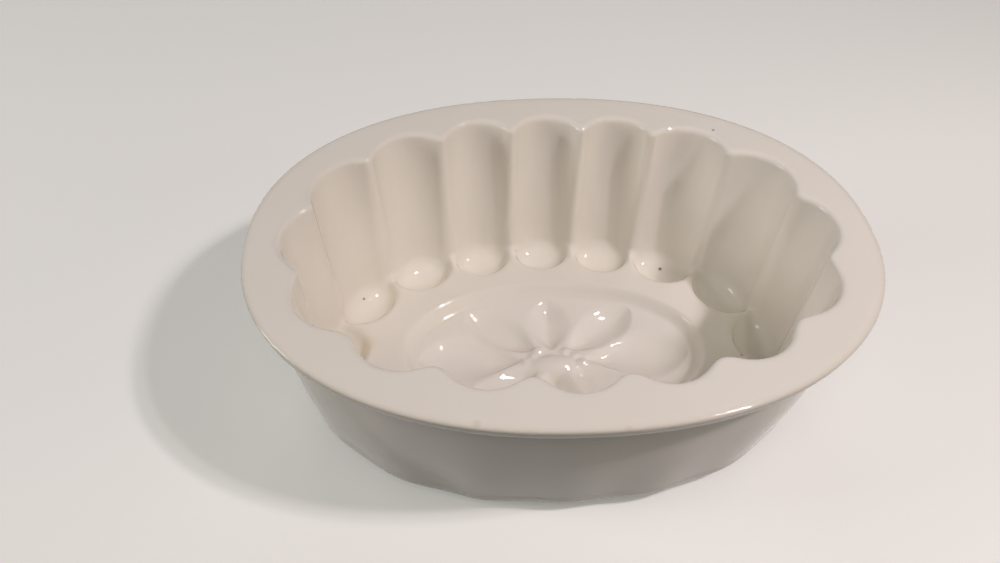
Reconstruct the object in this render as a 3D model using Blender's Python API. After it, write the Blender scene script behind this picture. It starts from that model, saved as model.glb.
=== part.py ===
# Oval jelly mould in white glazed earthenware, one casting. The inside has sixteen flutes that
# end in rounded wells, a flat ledge between the wells, and a sunk oval with a hollow flower.
# +X runs along the oval, +Z is up, and the origin is the middle of the face that it rests on.

import math

import bmesh
import bpy
import numpy as np

# Rim. Sizes are in metres and angles in degrees.
rimLength = 0.190
rimWidth = 0.1432
rimSquareness = 2.19
rimBreadthAtEnds = 0.0164
rimBreadthAtSides = 0.0187
rimThickness = 0.0042
mouldHeight = 0.0655
lipTopRadius = 0.0014
lipUnderRadius = 0.0010
lipSteps = 3

# Flutes. Their shares of the girth run from the middle of a long side to the middle of an end,
# and only their ratios count.
fluteShares = (0.906, 0.918, 0.998, 1.093, 1.085)
fluteSquareness = 2.24
mouthRounding = 0.0016
mouthSteps = 3
topRidgeRadius = 0.0030
lowRidgeRadius = 0.0045
flankAtMouth = 56.0
flankAtLedge = 48.0
draftAtEnds = 0.0028
draftAtSides = 0.0038
fluteSteps = 8
ridgeSteps = 4
wallRows = 4

# Wells and the ledge between them. The reaches run from a flute's wall to the front lip of its
# well, in the same order as the flutes' shares. Squareness 2 is a round section.
wellDepth = 0.0072
wellReaches = (0.0172, 0.0171, 0.0166, 0.0158, 0.0154)
wellBackSquareness = 2.8
wellFrontSquareness = 2.0
wellFullness = 0.7
wellLipRadius = 0.0012
ridgeFootRun = 0.0018
wellRows = 6
floorUnderWells = 0.0043

# Outer body. Its walls are measured from the bottom of a flute of mean width.
wallUnderRimAtEnds = 0.0034
wallUnderRimAtSides = 0.0049
wallAtFootAtEnds = 0.0024
wallAtFootAtSides = 0.0043
bodyBulge = 0.0012
bodySquareness = 2.20
bodyWave = 0.0010
rimFillet = 0.0030
cornerRadius = 0.0110
footRingWidth = 0.0070
footHollow = 0.0006
footHollowSlope = 0.0012
cornerSteps = 4
filletSteps = 2
bodySteps = 3
pointsPerWave = 6

# Sunk oval. Its floor is dished. It and the flower were carved by hand in the plaster, so their
# centres lie a little off the middle of the mould.
sunkCentre = (0.0008, -0.0010)
ledgeAtSides = 0.0179
ledgeAtEnds = 0.0224
sunkSquareness = 2.06
sunkEdgeDepth = 0.0045
sunkMiddleDepth = 0.0069
sunkWallAtSides = 0.0050
sunkWallAtEnds = 0.0044
sunkWallSteps = 5
sunkPoints = 72
dishRings = 3
dishFlatShare = 0.2

# Flower. Each petal has its direction, where it starts from the flower's middle, its width, the
# powers that say how slowly it opens from its start and closes to its tip, and the power of its
# section, where 1 is a plain V.
flowerCentre = (0.0005, -0.0020)
longPetal = {"angle": 0.0, "start": 0.0090, "width": 0.0196,
             "openPower": 1.55, "closePower": 0.95, "sectionPower": 2.2}
slantPetal = {"angle": 34.2, "start": 0.0064, "width": 0.0144,
              "openPower": 0.8, "closePower": 0.75, "sectionPower": 1.7}
shortPetal = {"angle": 90.0, "start": 0.0034, "width": 0.0148,
              "openPower": 0.75, "closePower": 0.85, "sectionPower": 1.45}
petalGap = 0.0010
petalDepth = 0.0030
petalBottomRunShare = 0.60
petalBottomSideShare = 0.06
petalSteps = 20
petalRows = 4
bossLength = 0.0156
bossWidth = 0.0080
bossHeight = 0.0008
bossRounding = 0.0014
bossSteps = 2
bossPoints = 24
cutterRise = 0.0010

# Glaze
glazeColour = (0.87, 0.82, 0.74, 1.0)
glazeRoughness = 0.18
sharpEdgeAngle = 35.0

curveSamples = 2880
fluteCount = 4 * (len(fluteShares) - 1)
mouthLength = rimLength - 2.0 * rimBreadthAtEnds
mouthWidth = rimWidth - 2.0 * rimBreadthAtSides
ledgeLength = mouthLength - 2.0 * draftAtEnds
ledgeWidth = mouthWidth - 2.0 * draftAtSides
ledgeHeight = floorUnderWells + wellDepth
sunkLength = ledgeLength - 2.0 * ledgeAtEnds
sunkWidth = ledgeWidth - 2.0 * ledgeAtSides
sunkFloorLength = sunkLength - 2.0 * sunkWallAtEnds
sunkFloorWidth = sunkWidth - 2.0 * sunkWallAtSides


def arc(count):
    """Angles from 0 to 90 degrees in count steps."""
    return [math.radians(90.0) * k / count for k in range(count + 1)]


def ovalCurve(length, width, squareness):
    """A closely sampled oval, with the share of its girth at each point. It starts at +X."""
    turn = np.linspace(0.0, 2.0 * math.pi, curveSamples + 1)
    cosine, sine = np.cos(turn), np.sin(turn)
    power = 2.0 / squareness
    x = 0.5 * length * np.sign(cosine) * np.abs(cosine) ** power
    y = 0.5 * width * np.sign(sine) * np.abs(sine) ** power
    curve = np.column_stack([x, y])
    girth = np.concatenate([[0.0], np.cumsum(np.linalg.norm(np.diff(curve, axis=0), axis=1))])
    return curve, girth / girth[-1]


def alongOval(length, width, squareness, shares):
    """Points of the oval at these shares of its girth."""
    curve, girth = ovalCurve(length, width, squareness)
    shares = np.mod(shares, 1.0)
    return np.column_stack([np.interp(shares, girth, curve[:, axis]) for axis in (0, 1)])


def fluteRise(length, width, flankAngle):
    """How far the flutes stand out from the oval through the tips of the ridges."""
    curve, _ = ovalCurve(length, width, fluteSquareness)
    span = np.sum(np.linalg.norm(np.diff(curve, axis=0), axis=1)) / fluteCount
    return 0.5 * span * math.tan(0.5 * math.radians(flankAngle))


def allRound(values):
    """One value for each flute, from those between the middle of a side and that of an end."""
    quarter = list(values[::-1])
    return (quarter + quarter[-2:0:-1]) * 2


def ridgeShares():
    """Where the ridges stand, as shares of the girth. A flute is centred on each end of each axis."""
    lobes = allRound(fluteShares)
    edges = np.concatenate([[0.0], np.cumsum(lobes)]) - 0.5 * lobes[0]
    return edges[:-1] / np.sum(lobes)


def ring(points, height):
    return [(x, y, height) for x, y in points]


def bodyShares():
    """The outer wall's stations, a fixed number for each flute, and the height of the wave there."""
    edges = ridgeShares()
    spans = np.mod(np.roll(edges, -1) - edges, 1.0)
    steps = np.arange(pointsPerWave) / pointsPerWave
    shares = (edges[:, None] + spans[:, None] * steps).ravel()
    waves = np.tile(0.5 - 0.5 * np.cos(2.0 * math.pi * steps), fluteCount)
    return shares, waves


def outerRing(length, width, squareness, height, wave=0.0):
    """One ring of the outside, pushed out over each flute by the wave."""
    shares, waves = bodyShares()
    plain = alongOval(length, width, squareness, shares)
    pushed = alongOval(length + 2.0 * wave, width + 2.0 * wave, squareness, shares)
    return ring(plain + (pushed - plain) * waves[:, None], height)


def footRings(length, width):
    """Rings of the foot: the shallow hollow, the ring that it stands on and the round corner."""
    flatLength, flatWidth = length - 2.0 * cornerRadius, width - 2.0 * cornerRadius
    rings = []
    for inset, height in ((footRingWidth + footHollowSlope, footHollow), (footRingWidth, 0.0)):
        inner = 2.0 * inset
        rings.append(outerRing(flatLength - inner, flatWidth - inner, bodySquareness, height))
    for angle in arc(cornerSteps):
        grow = 2.0 * cornerRadius * math.sin(angle)
        height = cornerRadius * (1.0 - math.cos(angle))
        wave = bodyWave * math.sin(angle)
        rings.append(outerRing(flatLength + grow, flatWidth + grow, bodySquareness, height, wave))
    return rings


def rimRings():
    """Rings round the edge of the rim, from its underside to its top."""
    rings = []
    for angle in arc(lipSteps):
        shrink = 2.0 * lipUnderRadius * (1.0 - math.sin(angle))
        height = mouldHeight - rimThickness + lipUnderRadius * (1.0 - math.cos(angle))
        rings.append(outerRing(rimLength - shrink, rimWidth - shrink, rimSquareness, height))
    for angle in arc(lipSteps):
        shrink = 2.0 * lipTopRadius * (1.0 - math.cos(angle))
        height = mouldHeight - lipTopRadius * (1.0 - math.sin(angle))
        rings.append(outerRing(rimLength - shrink, rimWidth - shrink, rimSquareness, height))
    return rings


def outsideRings():
    """Rings of the outside: the foot, the slightly bulging wall, its fillet and the rim."""
    rise = fluteRise(ledgeLength, ledgeWidth, flankAtLedge)
    footLength = ledgeLength + 2.0 * (rise + wallAtFootAtEnds)
    footWidth = ledgeWidth + 2.0 * (rise + wallAtFootAtSides)
    rise = fluteRise(mouthLength, mouthWidth, flankAtMouth)
    topLength = mouthLength + 2.0 * (rise + wallUnderRimAtEnds)
    topWidth = mouthWidth + 2.0 * (rise + wallUnderRimAtSides)
    wallTop = mouldHeight - rimThickness - rimFillet
    rings = footRings(footLength, footWidth)
    for step in range(1, bodySteps + 1):
        share = step / bodySteps
        height = cornerRadius + share * (wallTop - cornerRadius)
        bulge = 2.0 * bodyBulge * math.sin(math.pi * share)
        length = footLength + share * (topLength - footLength) + bulge
        width = footWidth + share * (topWidth - footWidth) + bulge
        rings.append(outerRing(length, width, bodySquareness, height, bodyWave * (1.0 - share)))
    for angle in arc(filletSteps)[1:]:
        grow = 2.0 * rimFillet * (1.0 - math.cos(angle))
        height = wallTop + rimFillet * math.sin(angle)
        rings.append(outerRing(topLength + grow, topWidth + grow, bodySquareness, height))
    return rings + rimRings()


def scallop(length, width, ridgeRadius, flankAngle, rounding=0.0):
    """The outline of the flutes: ridges with their tips on this oval, and round flutes between.

    The rounding opens the outline, as the edge does where the wall turns into the flat rim."""
    grow = 2.0 * ridgeRadius
    centres = alongOval(length + grow, width + grow, fluteSquareness, ridgeShares())
    flank = math.radians(flankAngle)
    ridge = ridgeRadius - rounding
    flutes = []
    for k, start in enumerate(centres):
        end = centres[(k + 1) % fluteCount]
        span = np.linalg.norm(end - start)
        along = (end - start) / span
        outward = np.array([along[1], -along[0]])
        middle = 0.5 * (start + end) - outward * 0.5 * span / math.tan(flank)
        radius = 0.5 * span / math.sin(flank) - ridge
        angles = np.linspace(-flank, flank, fluteSteps + 1)[:, None]
        flutes.append(middle + radius * (np.cos(angles) * outward + np.sin(angles) * along))
    outline = []
    for k, flute in enumerate(flutes):
        outline.extend(flute)
        centre = centres[(k + 1) % fluteCount]
        first = flute[-1] - centre
        last = flutes[(k + 1) % fluteCount][0] - centre
        turn = math.atan2(first[0] * last[1] - first[1] * last[0], first @ last)
        for step in range(1, ridgeSteps):
            angle = turn * step / ridgeSteps
            cosine, sine = math.cos(angle), math.sin(angle)
            spun = (first[0] * cosine - first[1] * sine, first[0] * sine + first[1] * cosine)
            outline.append(centre + np.array(spun))
    return np.array(outline)


def wallRings():
    """Rings from the flat rim, over the rounded edge and down the flutes to the ledge."""
    rings = []
    for angle in arc(mouthSteps):
        rounding = mouthRounding * (1.0 - math.sin(angle))
        height = mouldHeight - mouthRounding * (1.0 - math.cos(angle))
        outline = scallop(mouthLength, mouthWidth, topRidgeRadius, flankAtMouth, rounding)
        rings.append(ring(outline, height))
    top = mouldHeight - mouthRounding
    for row in range(1, wallRows + 1):
        share = row / wallRows
        length = mouthLength + share * (ledgeLength - mouthLength)
        width = mouthWidth + share * (ledgeWidth - mouthWidth)
        radius = topRidgeRadius + share * (lowRidgeRadius - topRidgeRadius)
        flank = flankAtMouth + share * (flankAtLedge - flankAtMouth)
        height = top + share * (ledgeHeight - top)
        rings.append(ring(scallop(length, width, radius, flank), height))
    return rings


def addRing(mesh, points):
    return [mesh.verts.new(point) for point in points]


def bridge(mesh, lower, upper):
    """Faces between two rings of the same count, facing out if the rings climb anticlockwise."""
    count = len(lower)
    for k in range(count):
        following = (k + 1) % count
        mesh.faces.new((lower[k], lower[following], upper[following], upper[k]))


def fillFlat(mesh, *rings):
    """A flat face between closed rings, the first of them outside."""
    edges = []
    for loop in rings:
        for k, start in enumerate(loop):
            end = loop[(k + 1) % len(loop)]
            edge = mesh.edges.get((start, end))
            edges.append(edge or mesh.edges.new((start, end)))
    bmesh.ops.triangle_fill(mesh, use_beauty=True, edges=edges, normal=(0.0, 0.0, 1.0))


def wellSection(across):
    """The depth of a well as a share of its full depth, from -1 at its back to 1 at its front."""
    squareness = wellBackSquareness if across < 0.0 else wellFrontSquareness
    return (1.0 - abs(across) ** squareness) ** (1.0 / squareness)


def wellGrid(outer, reach):
    """A rounded well under one flute: curves from the flute's foot, down and up to the ledge.

    Returns the rows of the bowl and the line of its lip on the ledge."""
    start, end = outer[0], outer[-1]
    span = np.linalg.norm(end - start)
    along = (end - start) / span
    outward = np.array([along[1], -along[0]])
    middle = 0.5 * (start + end)
    inward = reach - (outer[len(outer) // 2] - middle) @ outward
    turns = np.linspace(math.pi, 0.0, len(outer))
    across = 0.5 * span * np.cos(turns)
    full = np.abs(np.sin(turns))
    inner = middle + across[:, None] * along - (inward * full)[:, None] * outward
    rows = []
    for angle in np.linspace(0.0, math.pi, wellRows + 1)[1:]:
        share = 0.5 - 0.5 * math.cos(angle)
        flat = outer + (inner - outer) * share
        drop = wellDepth * full ** wellFullness * wellSection(2.0 * share - 1.0)
        lipDrop = wellLipRadius * full * share
        rows.append(np.column_stack([flat, ledgeHeight - np.maximum(drop, lipDrop)]))
    lip = inner - (wellLipRadius * full)[:, None] * outward
    return rows, np.column_stack([lip, np.full(len(lip), ledgeHeight)])


def addWells(mesh, foot):
    """The wells under all the flutes. Returns the closed line where they and the ridges meet the ledge.

    A well starts and ends one step round the ridges on either side of its flute."""
    perFlute = fluteSteps + ridgeSteps
    reaches = allRound(wellReaches)
    ledgeLine = []
    for k in range(fluteCount):
        steps = range(k * perFlute - 1, k * perFlute + fluteSteps + 2)
        corner = [foot[step % len(foot)] for step in steps]
        rows, lip = wellGrid(np.array([vert.co[:2] for vert in corner]), reaches[k])
        above = corner
        for row in rows + [lip]:
            inside = [mesh.verts.new(point) for point in row[1:-1]]
            below = [corner[0]] + inside + [corner[-1]]
            for j in range(len(corner) - 1):
                quad = [above[j + 1], above[j], below[j], below[j + 1]]
                mesh.faces.new(dict.fromkeys(quad))
            above = below
        ledgeLine.extend(above)
        steps = range(k * perFlute + fluteSteps + 1, (k + 1) * perFlute)
        ledgeLine.extend(addRidgeFoot(mesh, [foot[step] for step in steps]))
    return ledgeLine


def addRidgeFoot(mesh, ridge):
    """A hollow fillet where a ridge runs out on to the ledge. Returns its inner points there."""
    start, end = ridge[0].co, ridge[-1].co
    chord = end - start
    inward = np.array([-chord.y, chord.x]) / chord.length
    feet = []
    for k, vert in enumerate(ridge[1:-1], 1):
        reach = ridgeFootRun * math.sin(math.pi * k / (len(ridge) - 1))
        x, y = np.array(vert.co[:2]) + reach * inward
        feet.append(mesh.verts.new((x, y, ledgeHeight)))
        vert.co.z += reach
    line = [ridge[0]] + feet + [ridge[-1]]
    for k in range(len(ridge) - 1):
        quad = [ridge[k + 1], ridge[k], line[k], line[k + 1]]
        mesh.faces.new(dict.fromkeys(quad))
    return feet


def dishHeight(x, y):
    """The height of the sunk oval's dished floor."""
    run = np.hypot((x - sunkCentre[0]) / sunkFloorLength, (y - sunkCentre[1]) / sunkFloorWidth)
    rise = (sunkMiddleDepth - sunkEdgeDepth) * np.minimum(2.0 * run, 1.0) ** 2
    return ledgeHeight - sunkMiddleDepth + rise


def sunkRings():
    """Rings of the sunk oval's wall, which rounds over at its top and out again at its foot, and
    of its dished floor."""
    shares = np.arange(sunkPoints) / sunkPoints
    rings = []
    for step in range(sunkWallSteps + 1):
        share = step / sunkWallSteps
        length = sunkLength + share * (sunkFloorLength - sunkLength)
        width = sunkWidth + share * (sunkFloorWidth - sunkWidth)
        drop = sunkEdgeDepth * (0.5 - 0.5 * math.cos(math.pi * share))
        points = alongOval(length, width, sunkSquareness, shares) + sunkCentre
        rings.append(ring(points, ledgeHeight - drop))
    for step in range(1, dishRings + 1):
        scale = 1.0 - (1.0 - dishFlatShare) * step / dishRings
        length, width = scale * sunkFloorLength, scale * sunkFloorWidth
        height = dishHeight(sunkCentre[0] + 0.5 * length, sunkCentre[1])
        rings.append(ring(alongOval(length, width, sunkSquareness, shares) + sunkCentre, height))
    return rings


def mouldMesh():
    """The casting with a plain floor, as one closed skin."""
    mesh = bmesh.new()
    outside = [addRing(mesh, points) for points in outsideRings()]
    mesh.faces.new(outside[0][::-1])
    for lower, upper in zip(outside, outside[1:]):
        bridge(mesh, lower, upper)
    wall = [addRing(mesh, points) for points in wallRings()]
    fillFlat(mesh, outside[-1], wall[0])
    for upper, lower in zip(wall, wall[1:]):
        bridge(mesh, upper, lower)
    ledgeLine = addWells(mesh, wall[-1])
    sunk = [addRing(mesh, points) for points in sunkRings()]
    fillFlat(mesh, ledgeLine, sunk[0])
    for upper, lower in zip(sunk, sunk[1:]):
        bridge(mesh, upper, lower)
    mesh.faces.new(sunk[-1])
    bmesh.ops.recalc_face_normals(mesh, faces=mesh.faces)
    return mesh


def floorReach(direction):
    """How far the sunk oval's floor runs from the flower's middle in one direction."""
    curve, _ = ovalCurve(sunkFloorLength, sunkFloorWidth, sunkSquareness)
    offset = curve + sunkCentre - flowerCentre
    reach = np.linalg.norm(offset, axis=1)
    return reach[np.argmax(offset @ direction / reach)]


def closeStrip(mesh, loop):
    """Faces across a narrow loop that starts at its tip and whose halves mirror each other."""
    for k in range(len(loop) // 2):
        quad = [loop[k], loop[k + 1], loop[-k - 1], loop[-k]]
        mesh.faces.new(dict.fromkeys(quad))


def petalMesh(petal, mirrorX, mirrorY):
    """The space of one hollow petal: its pointed outline, and the round hollow under it."""
    angle = math.radians(petal["angle"])
    ahead = np.array([math.cos(angle) * mirrorX, math.sin(angle) * mirrorY])
    beside = np.array([-math.sin(angle) * mirrorX, math.cos(angle) * mirrorY])
    length = floorReach(ahead) - petalGap - petal["start"]
    turns = 2.0 * math.pi * np.arange(petalSteps) / petalSteps
    run = 0.5 - 0.5 * np.cos(turns)
    opening, closing = petal["openPower"], petal["closePower"]
    widest = opening / (opening + closing)
    swell = (run / widest) ** opening * ((1.0 - run) / (1.0 - widest)) ** closing
    side = 0.5 * petal["width"] * swell * np.sign(np.sin(turns))
    mesh = bmesh.new()
    rows = []
    for row in range(-1, petalRows + 1):
        left = 1.0 - max(row, 0) / petalRows
        outShare = petalBottomRunShare + (1.0 - petalBottomRunShare) * math.sqrt(left)
        narrowing = left ** (1.0 / petal["sectionPower"])
        sideShare = petalBottomSideShare + (1.0 - petalBottomSideShare) * narrowing
        out = petal["start"] + length * (0.5 + (run - 0.5) * outShare)
        points = flowerCentre + out[:, None] * ahead + (side * sideShare)[:, None] * beside
        height = dishHeight(points[:, 0], points[:, 1])
        height += cutterRise if row < 0 else petalDepth * (left - 1.0)
        rows.append(addRing(mesh, np.column_stack([points, height])))
    for upper, lower in zip(rows, rows[1:]):
        bridge(mesh, upper, lower)
    closeStrip(mesh, rows[0])
    closeStrip(mesh, rows[-1])
    bmesh.ops.recalc_face_normals(mesh, faces=mesh.faces)
    return mesh


def bossMesh():
    """The low boss that the petals meet, from inside the floor to its rounded top."""
    shares = np.arange(bossPoints) / bossPoints
    base = dishHeight(*flowerCentre)
    mesh = bmesh.new()
    rows = []
    levels = [(0.0, -cutterRise)]
    levels += [(angle, bossHeight * math.sin(angle)) for angle in arc(bossSteps)]
    for angle, rise in levels:
        inset = 2.0 * bossRounding * (1.0 - math.cos(angle))
        points = alongOval(bossLength - inset, bossWidth - inset, 2.0, shares) + flowerCentre
        rows.append(addRing(mesh, ring(points, base + rise)))
    for lower, upper in zip(rows, rows[1:]):
        bridge(mesh, lower, upper)
    mesh.faces.new(rows[0])
    mesh.faces.new(rows[-1])
    bmesh.ops.recalc_face_normals(mesh, faces=mesh.faces)
    return mesh


def addObject(name, mesh):
    data = bpy.data.meshes.new(name)
    mesh.to_mesh(data)
    mesh.free()
    item = bpy.data.objects.new(name, data)
    bpy.context.scene.collection.objects.link(item)
    return item


def combine(body, tool, operation):
    """Cuts a tool shape out of the body, or joins it on, and keeps the tool as a hidden guide."""
    tool.hide_render = True
    tool.display_type = "WIRE"
    change = body.modifiers.new(tool.name, "BOOLEAN")
    change.operation = operation
    change.object = tool
    change.solver = "EXACT"


def glaze():
    """Warm white glossy glaze."""
    material = bpy.data.materials.new("white_glaze")
    material.use_nodes = True
    shader = material.node_tree.nodes["Principled BSDF"]
    shader.inputs["Base Color"].default_value = glazeColour
    shader.inputs["Roughness"].default_value = glazeRoughness
    shader.inputs["Metallic"].default_value = 0.0
    return material


def main():
    for item in list(bpy.data.objects):
        bpy.data.objects.remove(item)
    body = addObject("mould_body", mouldMesh())
    combine(body, addObject("boss_shape", bossMesh()), "UNION")
    for name, petal in (("long", longPetal), ("short", shortPetal), ("slant", slantPetal)):
        level = petal["angle"] == 0.0
        upright = petal["angle"] == 90.0
        for mirrorX in (1,) if upright else (1, -1):
            for mirrorY in (1,) if level else (1, -1):
                side = ("e" if mirrorX > 0 else "w") + ("n" if mirrorY > 0 else "s")
                petalShape = addObject(f"{name}_petal_{side}", petalMesh(petal, mirrorX, mirrorY))
                combine(body, petalShape, "DIFFERENCE")
    body.data.materials.append(glaze())
    body.data.shade_smooth()
    body.data.set_sharp_from_angle(angle=math.radians(sharpEdgeAngle))


main()
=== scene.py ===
# Looks of the oval jelly mould: one glazed earthenware casting, seen from above and in front.
# Lengths are in metres where no note says otherwise.
# +X runs along the oval, +Y away from the camera and +Z up.
import math

import bpy
import numpy as np
from mathutils import Matrix, Vector


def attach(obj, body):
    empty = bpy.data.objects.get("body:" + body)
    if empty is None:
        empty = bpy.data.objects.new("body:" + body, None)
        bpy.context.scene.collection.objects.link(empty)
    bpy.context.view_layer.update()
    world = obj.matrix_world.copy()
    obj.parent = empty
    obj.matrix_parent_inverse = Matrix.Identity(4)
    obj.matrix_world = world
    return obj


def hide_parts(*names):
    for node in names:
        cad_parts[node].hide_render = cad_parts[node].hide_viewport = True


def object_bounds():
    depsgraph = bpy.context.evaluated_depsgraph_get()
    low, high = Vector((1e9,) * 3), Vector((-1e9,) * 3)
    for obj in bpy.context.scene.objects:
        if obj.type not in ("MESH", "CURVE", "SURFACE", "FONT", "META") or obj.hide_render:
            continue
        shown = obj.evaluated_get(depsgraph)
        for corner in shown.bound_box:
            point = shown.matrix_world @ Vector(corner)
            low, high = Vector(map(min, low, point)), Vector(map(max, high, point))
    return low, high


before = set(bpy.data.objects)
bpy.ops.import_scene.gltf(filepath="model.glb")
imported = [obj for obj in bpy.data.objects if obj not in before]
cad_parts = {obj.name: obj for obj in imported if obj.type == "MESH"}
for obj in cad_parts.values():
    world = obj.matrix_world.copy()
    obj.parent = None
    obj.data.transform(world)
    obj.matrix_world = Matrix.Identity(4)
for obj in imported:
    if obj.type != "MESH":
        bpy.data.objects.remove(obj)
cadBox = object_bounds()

print("frame loaded")

rimHalf = np.array(cadBox[1])[:2]
mouldHeight = cadBox[1][2]
millimetre = 0.001
tiny = 1e-6  # keeps powers and quotients finite
farAway = 1.0  # further off than anything on the mould
ovalSteps = 721  # points on a quarter of an oval

rim = {
    "squareness": 2.19,
    "thickness": 0.0042,
    "topRounding": 0.0007,
    "underRounding": 0.0010,
    "rollRun": 0.0032,  # the top rolls down a little towards the edge
    "rollDrop": 0.0003,
    "rollEnd": 1.2,  # in runs, a little past the edge
    "draft": 0.20,  # the edge's face draws in below
    "breadth": np.array((0.0164, 0.0187)),  # in to the ridges, at the ends and at the sides
}

flutes = {
    "shares": (1.085, 1.093, 0.998, 0.918, 0.906),  # of the girth, from an end to a side's middle
    "flankAtMouth": 56.0,  # degrees
    "flankAtLedge": 48.0,
    "squareness": 2.24,
    "draft": np.array((0.0028, 0.0038)),
    "mouthRounding": 0.0016,
    "ridgeAtMouth": 0.0030,  # the ridges' rounding
    "ridgeAtLedge": 0.0045,
    "coreInset": 0.0060,  # the plain oval that fills the middle of the outline
    "nearBlunting": 0.0010,  # cut off the tips of the ridges on the near side
    "nearRounding": 0.0024,
    "nearRun": 0.030,  # from the middle to where the blunting is full
}

wells = {
    "ledgeHeight": 0.0115,
    "depth": 0.0072,
    "reach": (0.0154, 0.0158, 0.0166, 0.0168, 0.0162),  # from a flute's wall to its well's front
    "breadth": 0.85,  # half the well's width, as a share of the flute's radius
    "bowlRun": 0.0085,  # from a well's front lip in to its flat bottom
    "lipRounding": 0.0024,
    "wallRounding": 0.0095,  # between a flute's wall and its well's bottom
    "wallRoundingRun": 0.0090,  # from the lip in to where that rounding is full
    "ridgeFootRounding": 0.0024,
}

sunkOval = {
    "centre": (0.0008, -0.0010),
    "half": np.array((0.0534, 0.0312)),
    "wall": np.array((0.0044, 0.0050)),
    "squareness": 2.06,
    "edgeHeight": 0.0070,  # of its dished floor
    "middleHeight": 0.0046,
}

flower = {
    "centre": (0.0005, -0.0020),
    "directions": {  # degrees
        "long": (0.0, 180.0),
        "short": (90.0, 270.0),
        "slant": (34.8, 145.2, 214.8, 325.2),
    },
    "long": {
        "start": 0.0098,  # from the flower's middle
        "width": 0.0206,
        "depth": 0.0033,
        "opening": 1.45,  # powers of the outline, towards the middle and towards the tip
        "closing": 0.90,
        "section": 2.0,  # power of the hollow's section, 2 for a round one
    },
    "slant": {
        "start": 0.0070,
        "width": 0.0150,
        "depth": 0.0033,
        "opening": 0.95,
        "closing": 0.70,
        "section": 1.7,
    },
    "short": {
        "start": 0.0044,
        "width": 0.0144,
        "depth": 0.0032,
        "opening": 0.85,
        "closing": 0.70,
        "section": 1.35,
    },
    "gap": 0.0010,  # from a petal's tip to the foot of the oval's wall
    "fullRun": 0.40,  # share of a petal's length that is at full depth
    "sideLimit": 2.0,  # half widths from a petal's middle line, past which nothing changes
    "besideDepth": -0.5,  # beside a petal, as a share of its depth, for soft joins
    "edge": 0.0014,
    "boss": {"half": (0.0088, 0.0040), "height": 0.0021, "blend": 0.0006},
    "bossCentre": (0.0007, -0.0040),
    "knob": {"half": (0.0020, 0.0017), "height": 0.0012, "blend": 0.0010},
    "knobCentres": (  # in mm
        (-9.2, -3.0),
        (-6.2, -0.6),
        (-4.4, 2.0),
        (5.5, 1.4),
        (8.6, -0.6),
        (11.0, -3.6),
    ),
}

body = {
    "squareness": 2.20,
    "topHalf": np.array((0.0891, 0.0649)),
    "footHalf": np.array((0.0838, 0.0590)),
    "bulge": 0.0012,
    "wave": 0.0007,  # the flutes show faintly towards the foot
    "rimFillet": 0.0030,
    "rimOverlap": 0.0005,  # the wall goes up into the rim by this
    "corner": 0.0110,  # rounding at the foot
    "footRing": 0.0070,
    "footHollow": 0.0006,
    "footSlope": 0.0012,  # run of the slope inside the ring
}

skin = {
    "step": 0.00082,
    "margin": 0.0015,
    "settle": 4,  # moves onto the skin at first
    "evening": 2,  # rounds that even out the points
    "resettle": 2,  # moves onto the skin in each round
    "probe": 0.00005,  # for the field's slope
    "leastSteepness": 0.05,
    "unevenness": 0.00014,
    "waves": (  # radians per metre along X, Y and Z, and the phase
        (112.0, 64.0, 40.0, 0.6),
        (-88.0, 134.0, 70.0, 2.1),
        (171.0, -97.0, -58.0, 4.0),
        (49.0, 203.0, 90.0, 5.2),
    ),
}


def roundedAnd(a, b, radius):
    # inside both shapes, with the edge between them rounded
    corner = np.hypot(np.maximum(a + radius, 0.0), np.maximum(b + radius, 0.0))
    return np.minimum(-radius, np.maximum(a, b)) + corner


def roundedOr(a, b, radius):
    # inside either shape, with the corner between them filled
    corner = np.hypot(np.maximum(radius - a, 0.0), np.maximum(radius - b, 0.0))
    return np.maximum(radius, np.minimum(a, b)) - corner


def softMax(a, b, width):
    near = np.maximum(width - np.abs(a - b), 0.0) / width
    return np.maximum(a, b) + 0.25 * width * near * near


def softStep(share):
    return 0.5 - 0.5 * np.cos(math.pi * np.clip(share, 0.0, 1.0))


def ovalDistance(x, y, halfLength, halfWidth, squareness):
    # distance to the oval, exact near it and negative inside; x and y are at least 0
    u, v = x / halfLength + tiny, y / halfWidth + tiny
    level = (u ** squareness + v ** squareness) ** (1.0 / squareness)
    slope = np.hypot(u ** (squareness - 1.0) / halfLength, v ** (squareness - 1.0) / halfWidth)
    return (level - 1.0) / (slope * level ** (1.0 - squareness))


def ovalQuarter(half, squareness):
    # points of the oval from +X to +Y, and the share of the quarter's girth at each
    turn = np.linspace(0.0, 0.5 * math.pi, ovalSteps)
    x = half[0] * np.cos(turn) ** (2.0 / squareness)
    y = half[1] * np.sin(turn) ** (2.0 / squareness)
    girth = np.concatenate([[0.0], np.cumsum(np.hypot(np.diff(x), np.diff(y)))])
    return x, y, girth / girth[-1]


def ridgeShares():
    # where the ridges of one quarter stand, as shares of its girth
    shares = np.array(flutes["shares"])
    steps = np.cumsum(shares) - 0.5 * shares[0]
    return steps[:-1] / (steps[-1] - 0.5 * shares[-1])


def fluteDiscs(half, ridge, flankAngle):
    # the circle of each flute's round wall in one quarter: its centre, outward direction and radius
    x, y, girth = ovalQuarter(half + ridge, flutes["squareness"])
    ridges = [np.array((np.interp(s, girth, x), np.interp(s, girth, y))) for s in ridgeShares()]
    ridges = [ridges[0] * (1.0, -1.0)] + ridges + [ridges[-1] * (-1.0, 1.0)]
    flank = math.radians(flankAngle)
    discs = []
    for start, end in zip(ridges, ridges[1:]):
        span = np.linalg.norm(end - start)
        outward = np.array((end[1] - start[1], start[0] - end[0])) / span
        centre = 0.5 * (start + end) - outward * 0.5 * span / math.tan(flank)
        discs.append((centre, outward, 0.5 * span / math.sin(flank) - ridge))
    return discs


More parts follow.
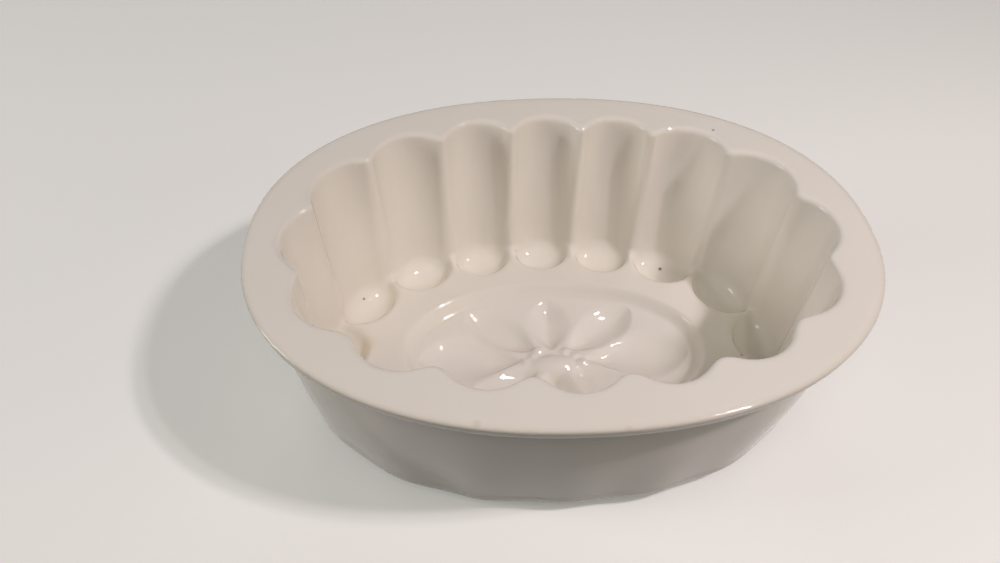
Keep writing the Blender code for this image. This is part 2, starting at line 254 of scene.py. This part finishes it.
mouthHalf = rimHalf - rim["breadth"]
ledgeHalf = mouthHalf - flutes["draft"]
mouthLevel = mouldHeight - flutes["mouthRounding"]
mouthDiscs = fluteDiscs(mouthHalf, flutes["ridgeAtMouth"], flutes["flankAtMouth"])
ledgeDiscs = fluteDiscs(ledgeHalf, flutes["ridgeAtLedge"], flutes["flankAtLedge"])
sunkFloorHalf = sunkOval["half"] - sunkOval["wall"]


def fluteField(x, y, z):
    # the fluted hollow, drafted from its mouth down to the ledge, and the oval at its core
    fall = (mouthLevel - z) / (mouthLevel - wells["ledgeHeight"])
    nearest = np.full(x.shape, farAway)
    second = nearest.copy()
    for (top, _, topRadius), (low, _, lowRadius) in zip(mouthDiscs, ledgeDiscs):
        centreX = top[0] + (low[0] - top[0]) * fall
        centreY = top[1] + (low[1] - top[1]) * fall
        distance = np.hypot(x - centreX, y - centreY) - (topRadius + (lowRadius - topRadius) * fall)
        second = np.minimum(second, np.maximum(nearest, distance))
        nearest = np.minimum(nearest, distance)
    ridgeTop, ridgeLow = flutes["ridgeAtMouth"], flutes["ridgeAtLedge"]
    ridge = ridgeTop + (ridgeLow - ridgeTop) * np.clip(fall, 0.0, 1.0)
    half = mouthHalf - flutes["coreInset"]
    draft = flutes["draft"]
    halfLength, halfWidth = half[0] - draft[0] * fall, half[1] - draft[1] * fall
    core = ovalDistance(x, y, halfLength, halfWidth, flutes["squareness"])
    return np.minimum(roundedOr(nearest, second, ridge), core), core


def wellLips(x, y):
    # distance to the lip of the nearest well, a slot with a round front; negative inside
    lip = np.full(x.shape, farAway)
    for (centre, outward, radius), reach in zip(ledgeDiscs, wells["reach"]):
        half = wells["breadth"] * radius
        front = centre + outward * (radius - reach + half)
        ahead = np.minimum((x - front[0]) * outward[0] + (y - front[1]) * outward[1], 0.0)
        aside = (y - front[1]) * outward[0] - (x - front[0]) * outward[1]
        lip = np.minimum(lip, np.hypot(ahead, aside) - half)
    return lip


def wellField(lip, z):
    # round-bottomed pits that the flutes' own walls close at the back
    down = np.maximum(wells["ledgeHeight"] - z, 0.0) / wells["depth"]
    across = np.maximum(1.0 + lip / wells["bowlRun"], 0.0)
    return (np.sqrt(across * across + down * down) - 1.0) * wells["bowlRun"]


def petalReach(direction):
    # from the flower's middle to the foot of the oval's wall, less the gap
    turn = np.linspace(0.0, 2.0 * math.pi, 2 * ovalSteps - 1)
    power = 2.0 / sunkOval["squareness"]
    x, y = [
        half * np.sign(wave) * np.abs(wave) ** power + ovalCentre - centre
        for half, wave, ovalCentre, centre
        in zip(sunkFloorHalf, (np.cos(turn), np.sin(turn)), sunkOval["centre"], flower["centre"])
    ]
    reach = np.hypot(x, y)
    alignment = (x * math.cos(direction) + y * math.sin(direction)) / reach
    return reach[np.argmax(alignment)] - flower["gap"]


petals = [
    (flower[name], math.radians(turn), petalReach(math.radians(turn)))
    for name, turns in flower["directions"].items()
    for turn in turns
]


def petalDepth(x, y, petal, angle, end):
    # x and y are from the flower's middle
    out = x * math.cos(angle) + y * math.sin(angle)
    aside = y * math.cos(angle) - x * math.sin(angle)
    run = np.clip((out - petal["start"]) / (end - petal["start"]), 0.0, 1.0)
    opening, closing = petal["opening"], petal["closing"]
    widest = opening / (opening + closing)
    swell = (run / widest) ** opening * ((1.0 - run) / (1.0 - widest)) ** closing
    half = 0.5 * petal["width"] * swell + tiny
    fullRun = flower["fullRun"]
    endwise = np.maximum(np.abs(2.0 * run - 1.0) - fullRun, 0.0) / (1.0 - fullRun)
    depth = 1.0 - np.minimum(np.abs(aside) / half, flower["sideLimit"]) ** petal["section"]
    beside = np.maximum(depth, flower["besideDepth"])
    return petal["depth"] * np.where(depth > 0.0, depth * (1.0 - endwise * endwise), beside)


def raised(x, y, ground, centre, lump):
    # a round lump that stands on the dished floor and fills what is hollow under it
    away = ((x - centre[0]) / lump["half"][0]) ** 2 + ((y - centre[1]) / lump["half"][1]) ** 2
    farOff = 6.0  # where the lump's side is well under the ground
    top = sunkOval["middleHeight"] + lump["height"] * (1.0 - np.minimum(away, farOff))
    return softMax(ground, top, lump["blend"])


def floorHeight(x, y):
    # the ledge, the dished oval sunk in it and the hollow flower in that
    sunkX, sunkY = np.abs(x - sunkOval["centre"][0]), np.abs(y - sunkOval["centre"][1])
    outer = ovalDistance(sunkX, sunkY, *sunkOval["half"], sunkOval["squareness"])
    inner = ovalDistance(sunkX, sunkY, *sunkFloorHalf, sunkOval["squareness"])
    wall = softStep(-outer / (inner - outer))
    spread = np.minimum((sunkX / sunkFloorHalf[0]) ** 2 + (sunkY / sunkFloorHalf[1]) ** 2, 1.0)
    edge, middle = sunkOval["edgeHeight"], sunkOval["middleHeight"]
    dish = edge - (edge - middle) * (1.0 - spread)
    ground = wells["ledgeHeight"] + (dish - wells["ledgeHeight"]) * wall
    hollow = np.zeros(x.shape)
    for petal, angle, end in petals:
        depth = petalDepth(x - flower["centre"][0], y - flower["centre"][1], petal, angle, end)
        hollow = softMax(hollow, depth, flower["edge"])
    ground = raised(x, y, ground - hollow, flower["bossCentre"], flower["boss"])
    for knobX, knobY in flower["knobCentres"]:
        centre = (millimetre * knobX, millimetre * knobY)
        ground = raised(x, y, ground, centre, flower["knob"])
    return ground


def bodyWave(x, y):
    # 0 over a ridge and 1 over the middle of a flute
    ovalX, ovalY, girth = ovalQuarter(body["topHalf"], body["squareness"])
    ridges = ridgeShares()
    stations = np.concatenate([[-ridges[0]], ridges, [2.0 - ridges[-1]]])
    phase = np.interp(girth, stations, np.arange(len(stations)))
    turn = np.interp(np.arctan2(y, x), np.arctan2(ovalY, ovalX), phase)
    return 0.5 - 0.5 * np.cos(2.0 * math.pi * turn)


def outsideField(x, y, z):
    # the tapering wall on its foot ring, and the rim's plate on top
    rimUnder = mouldHeight - rim["thickness"]
    wallTop = rimUnder - body["rimFillet"]
    share = np.clip((z - body["corner"]) / (wallTop - body["corner"]), 0.0, 1.0)
    bulge = body["bulge"] * np.sin(math.pi * share)
    halfLength, halfWidth = [
        foot + (top - foot) * share + bulge for foot, top in zip(body["footHalf"], body["topHalf"])
    ]
    side = ovalDistance(x, y, halfLength, halfWidth, body["squareness"])
    side = side - body["wave"] * (1.0 - share) * bodyWave(x, y)
    inset = -(side + body["corner"] + body["footRing"]) / body["footSlope"]
    base = body["footHollow"] * softStep(inset) - z
    wall = roundedAnd(side, base, body["corner"])
    wall = np.maximum(wall, z - (rimUnder + body["rimOverlap"]))
    edge = ovalDistance(x, y, *rimHalf, rim["squareness"])
    roll = rim["rollDrop"] * np.clip(1.0 + edge / rim["rollRun"], 0.0, rim["rollEnd"]) ** 2
    edge = edge + rim["draft"] * (mouldHeight - z)
    plate = roundedAnd(edge, z - mouldHeight + roll, rim["topRounding"])
    plate = roundedAnd(plate, rimUnder - z, rim["underRounding"])
    return roundedOr(wall, plate, body["rimFillet"])


def quarterFields(x, y, z):
    # the hollows and the outside, which are the same in all four quarters
    x, y = np.abs(x), np.abs(y)
    return *fluteField(x, y, z), wellLips(x, y), outsideField(x, y, z)


def unevenness(x, y, z):
    # the slow waves that a hand-finished mould leaves in the casting's inside
    waves = [np.sin(a * x + b * y + c * z + phase) for a, b, c, phase in skin["waves"]]
    return skin["unevenness"] * sum(waves) / len(waves)


def joinedField(fluting, core, lip, outside, ground, y, z, wave):
    # negative in the clay
    tips = core - flutes["coreInset"] - flutes["nearBlunting"]
    blunted = roundedOr(fluting, tips, flutes["nearRounding"])
    fluting = fluting + (blunted - fluting) * softStep(-y / flutes["nearRun"])
    opened = roundedOr(ground - z, wellField(lip, z), wells["lipRounding"])
    foot = wells["ridgeFootRounding"]
    inWell = softStep(-lip / wells["wallRoundingRun"])
    hollow = roundedAnd(fluting, opened, foot + (wells["wallRounding"] - foot) * inWell) + wave
    return roundedAnd(outside, -hollow, flutes["mouthRounding"])


def mouldField(points):
    x, y, z = points[..., 0], points[..., 1], points[..., 2]
    return joinedField(*quarterFields(x, y, z), floorHeight(x, y), y, z, unevenness(x, y, z))


def fieldSlope(points):
    probe = skin["probe"]
    slope = np.empty_like(points)
    for axis in range(3):
        shift = np.zeros(3)
        shift[axis] = probe
        slope[..., axis] = (mouldField(points + shift) - mouldField(points - shift)) / (2.0 * probe)
    return slope


def ontoSkin(points, times):
    for _ in range(times):
        slope = fieldSlope(points)
        steep = np.sum(slope * slope, axis=-1, keepdims=True)
        move = slope * mouldField(points)[..., None] / np.maximum(steep, skin["leastSteepness"])
        points = points - np.clip(move, -skin["step"], skin["step"])
    return points


def mirrored(values, axis):
    return np.concatenate([np.flip(values, axis), values], axis=axis)


def skinMesh():
    # one point in each grid cell that the skin crosses, and a quad round each crossed grid edge
    step = skin["step"]
    counts = np.ceil((rimHalf + skin["margin"]) / step).astype(int)
    xs, ys = (np.arange(counts[0]) + 0.5) * step, (np.arange(counts[1]) + 0.5) * step
    zs = np.arange(-skin["margin"], mouldHeight + skin["margin"], step)
    quarters = quarterFields(*np.meshgrid(xs, ys, zs, indexing="ij"))
    fields = [mirrored(mirrored(quarter, 0), 1) for quarter in quarters]
    allX, allY = np.concatenate([-xs[::-1], xs]), np.concatenate([-ys[::-1], ys])
    ground = floorHeight(*np.meshgrid(allX, allY, indexing="ij"))
    wave = unevenness(allX[:, None, None], allY[None, :, None], zs)
    inClay = joinedField(*fields, ground[:, :, None], allY[None, :, None], zs, wave) < 0.0
    long, wide, high = np.array(inClay.shape) - 1
    filled = np.zeros((long, wide, high), int)
    for i, j, k in np.ndindex(2, 2, 2):
        filled += inClay[i:i + long, j:j + wide, k:k + high]
    crossed = (filled > 0) & (filled < 8)
    number = np.full(filled.shape, -1)
    number[crossed] = np.arange(crossed.sum())
    origin = np.array((-xs[-1], -ys[-1], zs[0]))
    points = origin + (np.argwhere(crossed) + 0.5) * step
    quads = []
    for axis in range(3):
        rolled = np.moveaxis(inClay, axis, 0)
        cells = np.moveaxis(number, axis, 0)
        change = (rolled[1:] != rolled[:-1])[:, 1:-1, 1:-1]
        a, b, c = np.argwhere(change).T
        around = (cells[a, b, c], cells[a, b + 1, c], cells[a, b + 1, c + 1], cells[a, b, c + 1])
        quad = np.stack(around, axis=1)
        outward = rolled[a, b + 1, c + 1]
        flip = outward if axis == 1 else ~outward
        quad[flip] = quad[flip][:, ::-1]
        quads.append(quad)
    return points, np.concatenate(quads)


def neighbourMean(values, quads):
    ends = np.concatenate([quads[:, pair] for pair in ([0, 1], [1, 2], [2, 3], [3, 0])])
    count = np.bincount(ends[:, 0], minlength=len(values))
    sums = [np.bincount(ends[:, 0], column[ends[:, 1]], len(values)) for column in values.T]
    return np.stack(sums, axis=1) / count[:, None]


def addItem(name, data):
    item = bpy.data.objects.new(name, data)
    bpy.context.scene.collection.objects.link(item)
    return item


pool = {
    "spread": 5,  # rounds that smooth the bend
    "bend": 0.00020,  # half of this counts as a full hollow
    "edgeShadeRun": 0.0034,  # the painted shade spreads this far in from the rim's edge
}


def poolingAndEdgeShade(points, quads):
    # 0.5 where the glaze is even, up to 1 in tight hollows, and down to 0 at the rim's edge, where
    # painted shade goes
    outward = fieldSlope(points)
    outward = outward / np.linalg.norm(outward, axis=1, keepdims=True)
    bend = np.sum((neighbourMean(points, quads) - points) * outward, axis=1, keepdims=True)
    for _ in range(pool["spread"]):
        bend = neighbourMean(bend, quads)
    hollow = np.clip(bend[:, 0] / pool["bend"], 0.0, 0.5)
    edge = ovalDistance(*np.abs(points[:, :2]).T, *rimHalf, rim["squareness"])
    return 0.5 + hollow - 0.5 * np.clip(1.0 + edge / pool["edgeShadeRun"], 0.0, 1.0) ** 2


def makeCasting():
    points, quads = skinMesh()
    points = ontoSkin(points, skin["settle"])
    for _ in range(skin["evening"]):
        points = ontoSkin(0.5 * (points + neighbourMean(points, quads)), skin["resettle"])
    mesh = bpy.data.meshes.new("glazed_mould")
    mesh.from_pydata(points.tolist(), [], quads.tolist())
    mesh.shade_smooth()
    values = poolingAndEdgeShade(points, quads)
    mesh.attributes.new("poolingAndEdgeShade", "FLOAT", "POINT").data.foreach_set("value", values)
    print("casting made:", len(points), "points,", len(quads), "faces")
    return addItem("glazed_mould", mesh)


glaze = {
    "colour": (0.88, 0.848, 0.797, 1.0),
    "warmer": (0.875, 0.834, 0.766, 1.0),  # in slow clouds
    "pooled": (0.80, 0.745, 0.620, 1.0),  # where it gathers in hollows
    "paintedEdgeShade": (0.76, 0.705, 0.625, 1.0),  # painted shade, darker towards the rim's edge
    "index": 1.5,
    "roughness": 0.060,
    "roughnessSpread": 0.035,
    "ripple": 0.00004,
    "fineRipple": 0.35,  # as a share of the broad one
    "cloudShare": 0.8,
    "patchiness": {"pooled": 0.25, "paintedEdgeShade": 0.4},
    "noises": {  # scale and detail
        "clouds": (24.0, 2.0),
        "pooled": (90.0, 2.0),
        "paintedEdgeShade": (60.0, 2.0),
        "wear": (300.0, 2.0),
        "dulling": (140.0, 4.0),
        "broadRipple": (160.0, 1.0),
        "fineRipple": (520.0, 1.0),
    },
    "bands": {  # of the noise or the pooling, from none to full
        "clouds": (0.35, 0.70),
        "pooled": (0.55, 1.0),
        "paintedEdgeShade": (0.50, 1.0),
        "dulling": (0.45, 0.85),
    },
}

clay = {
    "colour": (0.62, 0.54, 0.42, 1.0),
    "roughness": 0.62,
    "wornHeight": 0.00025,  # the foot is worn bare up to about here
    "wornSpread": 0.0002,
}

marks = {
    "pinhole": (0.10, 0.075, 0.05, 1.0),
    "rust": (0.50, 0.36, 0.28, 1.0),
    # painted shade: the brownish tone of a shadowed well
    "paintedWellShade": (0.80, 0.68, 0.46, 1.0),
    "fullShare": 0.3,  # of a mark's radius, at full strength
    "places": (  # kind, place and radius in mm, strength
        ("pinhole", (-68.3, 27.3, 7.6), 0.7, 0.8),
        ("pinhole", (47.1, 40.6, 5.6), 0.9, 0.9),
        ("pinhole", (58.0, 49.1, 65.5), 0.7, 0.7),
        ("pinhole", (65.8, -8.0, 11.4), 0.9, 0.5),
        ("pinhole", (-9.7, 48.1, 10.4), 0.5, 0.5),
        ("rust", (-27.2, -67.9, 65.3), 1.5, 0.20),
        ("rust", (9.2, -70.9, 65.2), 1.4, 0.18),
        # painted shade in the left end's well, where its shadow falls
        ("paintedWellShade", (-65.5, 2.2, 9.2), 6.0, 0.45),
    ),
}


class Shade:
    # one output of a node tree; sums, differences and products of them add Math nodes
    def __init__(self, tree, socket=None):
        self.tree = tree
        self.socket = socket

    def node(self, kind, settings, inputs, output=0):
        made = self.tree.nodes.new(kind)
        for name, value in settings.items():
            setattr(made, name, value)
        for name, value in inputs.items():
            self.feed(made.inputs[name], value)
        return Shade(self.tree, made.outputs[output])

    def feed(self, socket, value):
        if isinstance(value, Shade):
            self.tree.links.new(value.socket, socket)
        else:
            socket.default_value = value

    def math(self, operation, *values):
        return self.node("ShaderNodeMath", {"operation": operation}, dict(enumerate(values)))

    def mixed(self, share, first, second):
        # the Mix node's colour sockets are 6 and 7, and its colour output is 2
        return self.node("ShaderNodeMix", {"data_type": "RGBA"}, {0: share, 6: first, 7: second}, 2)

    def between(self, low, high):
        # 0 at low and 1 at high, smoothly
        settings = {"interpolation_type": "SMOOTHSTEP"}
        inputs = {"Value": self, "From Min": low, "From Max": high}
        return self.node("ShaderNodeMapRange", settings, inputs)

    def __add__(self, other):
        return self.math("ADD", self, other)

    def __rsub__(self, other):
        return self.math("SUBTRACT", other, self)

    def __mul__(self, other):
        return self.math("MULTIPLY", self, other)

    __radd__ = __add__
    __rmul__ = __mul__


def makeGlaze():
    material = bpy.data.materials.new("white_glaze")
    material.use_nodes = True
    shader = material.node_tree.nodes["Principled BSDF"]
    shader.inputs["IOR"].default_value = glaze["index"]
    start = Shade(material.node_tree)
    place = start.node("ShaderNodeTexCoord", {}, {}, "Object")

    def noise(name):
        scale, detail = glaze["noises"][name]
        inputs = {"Vector": place, "Scale": scale, "Detail": detail}
        return start.node("ShaderNodeTexNoise", {}, inputs)

    def tinted(colour, name, amount):
        # towards the named colour where the amount is in its band, in patches
        patchiness = glaze["patchiness"][name]
        patches = 1.0 - patchiness + patchiness * noise(name)
        return start.mixed(amount.between(*glaze["bands"][name]) * patches, colour, glaze[name])

    # above 0.5: glaze pooled in hollows; below 0.5: painted shade at the rim's edge
    pooled = start.node("ShaderNodeAttribute", {"attribute_name": "poolingAndEdgeShade"}, {}, "Fac")
    clouds = noise("clouds").between(*glaze["bands"]["clouds"])
    colour = start.mixed(glaze["cloudShare"] * clouds, glaze["colour"], glaze["warmer"])
    colour = tinted(colour, "pooled", pooled)
    # painted shade: darker towards the rim's edge
    colour = tinted(colour, "paintedEdgeShade", 1.0 - pooled)
    # pinholes and rust are real marks; one entry is painted shade in a well
    for kind, centre, radius, strength in marks["places"]:
        centre = tuple(millimetre * length for length in centre)
        radius = millimetre * radius
        inputs = {0: place, 1: centre}
        away = start.node("ShaderNodeVectorMath", {"operation": "DISTANCE"}, inputs, "Value")
        share = strength * (1.0 - away.between(marks["fullShare"] * radius, radius))
        colour = start.mixed(share, colour, marks[kind])
    height = start.node("ShaderNodeSeparateXYZ", {}, {"Vector": place}, "Z")
    wornTop = clay["wornHeight"] + clay["wornSpread"] * noise("wear")
    worn = 1.0 - height.between(0.5 * clay["wornHeight"], wornTop)
    dulling = noise("dulling").between(*glaze["bands"]["dulling"])
    roughness = glaze["roughness"] + glaze["roughnessSpread"] * dulling
    roughness = roughness + worn * (clay["roughness"] - glaze["roughness"])
    start.feed(shader.inputs["Base Color"], start.mixed(worn, colour, clay["colour"]))
    start.feed(shader.inputs["Roughness"], roughness)
    ripple = noise("broadRipple") + glaze["fineRipple"] * noise("fineRipple")
    inputs = {"Strength": 1.0, "Distance": glaze["ripple"], "Height": ripple}
    start.feed(shader.inputs["Normal"], start.node("ShaderNodeBump", {}, inputs))
    return material


casting = makeCasting()
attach(casting, "root")
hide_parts("mould_body")
casting.data.materials.append(makeGlaze())
print("glaze put on")

camera = {
    "azimuth": 0.052531,  # this and the next two in radians
    "elevation": 0.808450,
    "roll": 0.009504,
    "place": (-0.027543, -0.173105, 0.159625 + mouldHeight),
    "focal": 0.780,  # of the picture's width
    "sensor": 36.0,  # in mm
    "nearest": 0.01,
}


def addCamera():
    azimuth, elevation, roll = camera["azimuth"], camera["elevation"], camera["roll"]
    ahead = Vector((
        math.sin(azimuth) * math.cos(elevation),
        math.cos(azimuth) * math.cos(elevation),
        -math.sin(elevation),
    ))
    level = Vector((math.cos(azimuth), -math.sin(azimuth), 0.0))
    upward = level.cross(ahead)
    right = math.cos(roll) * level + math.sin(roll) * upward
    upright = math.cos(roll) * upward - math.sin(roll) * level
    data = bpy.data.cameras.new("camera")
    data.sensor_width = camera["sensor"]
    data.lens = camera["sensor"] * camera["focal"]
    data.clip_start = camera["nearest"]
    matrix = Matrix((right, upright, -ahead)).transposed().to_4x4()
    matrix.translation = camera["place"]
    item = addItem("camera", data)
    item.matrix_world = matrix
    bpy.context.scene.camera = item


addCamera()

lights = {
    "lamps": {  # azimuth and elevation in degrees, distance, size, power in watts, colour
        "key": (-27.0, 53.0, 0.65, 0.026, 0.62, (1.0, 0.883, 0.905)),
        "keyNear": (-31.0, 55.5, 0.65, 0.022, 0.62, (1.0, 0.883, 0.905)),
        "keyFar": (-25.0, 55.0, 0.65, 0.022, 0.62, (1.0, 0.883, 0.905)),
        "overhead": (-100.0, 59.0, 1.19, 0.6, 3.0, (1.0, 0.964, 0.857)),
        "left": (182.0, 18.0, 0.96, 0.3, 2.7, (1.0, 0.95, 0.89)),
        "back": (97.0, 30.0, 0.95, 0.5, 1.0, (1.0, 0.97, 0.93)),
        "right": (-20.0, 24.0, 0.93, 0.3, 0.72, (1.0, 0.84, 0.45)),
    },
    "mirrored": ("key", "keyNear", "keyFar", "left"),  # the lamps that show in the glaze
    "aim": (0.0, 0.0, 0.03),
    "worldColour": (1.0, 0.98, 0.95, 1.0),
    "worldMirror": 0.35,  # the world is seen and mirrored, and lights nothing
}


def addLights():
    for name, (azimuth, elevation, distance, size, power, colour) in lights["lamps"].items():
        data = bpy.data.lights.new(name, "AREA")
        data.size = size
        data.energy = power
        data.color = colour
        azimuth, elevation = math.radians(azimuth), math.radians(elevation)
        away = Vector((
            math.cos(elevation) * math.cos(azimuth),
            math.cos(elevation) * math.sin(azimuth),
            math.sin(elevation),
        ))
        item = addItem(name, data)
        item.location = Vector(lights["aim"]) + distance * away
        item.rotation_euler = away.to_track_quat("Z", "Y").to_euler()
        item.visible_glossy = name in lights["mirrored"]


addLights()


def seenShare(start):
    # 1 where the ray comes from the camera, a mirroring surface or glass
    cameraRay, glossyRay, glassRay = [
        start.node("ShaderNodeLightPath", {}, {}, kind)
        for kind in ("Is Camera Ray", "Is Glossy Ray", "Is Transmission Ray")
    ]
    return start.math("MAXIMUM", start.math("MAXIMUM", cameraRay, glossyRay), glassRay)


floor = {
    "half": 4.0,
    "colour": (0.86, 0.86, 0.85, 1.0),
    "bounce": (0.07, 0.07, 0.068, 1.0),  # kept low, so that little light comes up from below
    "roughness": 0.9,
    "glow": 0.16,
    "glowColour": (1.0, 1.0, 1.0, 1.0),
}


def addFloor():
    half = floor["half"]
    corners = [(-half, -half, 0.0), (half, -half, 0.0), (half, half, 0.0), (-half, half, 0.0)]
    mesh = bpy.data.meshes.new("floor")
    mesh.from_pydata(corners, [], [(0, 1, 2, 3)])
    item = addItem("floor", mesh)
    material = bpy.data.materials.new("floor")
    material.use_nodes = True
    shader = material.node_tree.nodes["Principled BSDF"]
    shader.inputs["Roughness"].default_value = floor["roughness"]
    shader.inputs["Emission Color"].default_value = floor["glowColour"]
    start = Shade(material.node_tree)
    seen = seenShare(start)
    start.feed(shader.inputs["Base Color"], start.mixed(seen, floor["bounce"], floor["colour"]))
    start.feed(shader.inputs["Emission Strength"], floor["glow"] * seen)
    mesh.materials.append(material)


addFloor()


def addWorld():
    world = bpy.data.worlds.new("studio")
    bpy.context.scene.world = world
    world.use_nodes = True
    background = world.node_tree.nodes["Background"]
    background.inputs["Color"].default_value = lights["worldColour"]
    start = Shade(world.node_tree)
    start.feed(background.inputs["Strength"], lights["worldMirror"] * seenShare(start))


addWorld()
bpy.context.scene.view_settings.view_transform = "Standard"
print("stage set")
